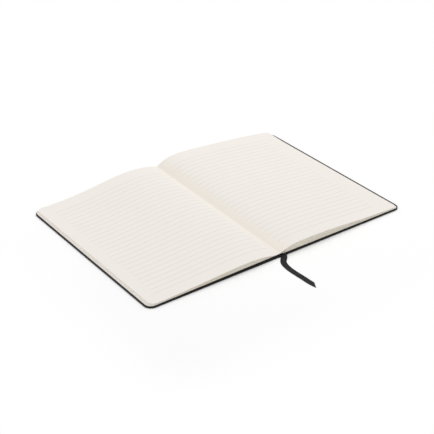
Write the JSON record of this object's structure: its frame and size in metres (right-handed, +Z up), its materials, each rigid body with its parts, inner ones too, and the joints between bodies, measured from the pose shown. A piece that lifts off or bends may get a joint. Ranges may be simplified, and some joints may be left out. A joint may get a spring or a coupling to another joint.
{
  "type": "open hardback notebook",
  "caption": "Hardback ruled notebook lying open flat, with hinged covers, arched pages and a ribbon marker.",
  "frame": {"origin": "under the middle of the spine, on the surface that the open notebook lies on, without the ribbon", "axes": "+X across the spread towards the right page's fore edge, +Y from the tail to the head of the pages, +Z up"},
  "size_m": [0.304, 0.2718, 0.0151],
  "materials": {
    "leatherette": "fine-grained black leatherette, satin",
    "greyboard": "raw grey bookbinding board",
    "lining": "glued open-weave lining",
    "endpaper": "smooth uncoated cream paper",
    "page_paper": "smooth uncoated cream paper, faintly ruled",
    "ribbon": "woven satin ribbon, charcoal"
  },
  "bodies": {
    "spine": {"spine_cover": "leatherette", "spine_board": "greyboard", "spine_lining": "lining", "page_block_back": "page_paper", "ribbon_marker": "ribbon"},
    "front_half": {"front_cover": "leatherette", "front_board": "greyboard", "front_endpaper": "endpaper", "left_pages": "page_paper"},
    "back_half": {"back_cover": "leatherette", "back_board": "greyboard", "back_endpaper": "endpaper", "right_pages": "page_paper"}
  },
  "joints": [
    {"name": "front_cover_hinge", "type": "hinge", "parent": "spine", "child": "front_half", "pos_m": [-0.0037, 0, 0.0002], "axis": [0, 1, 0], "range_deg": [0, 90], "deforming": ["left_pages", "page_block_back"]},
    {"name": "back_cover_hinge", "type": "hinge", "parent": "spine", "child": "back_half", "pos_m": [0.0037, 0, 0.0002], "axis": [0, -1, 0], "range_deg": [0, 90], "deforming": ["right_pages"]}
  ]
}
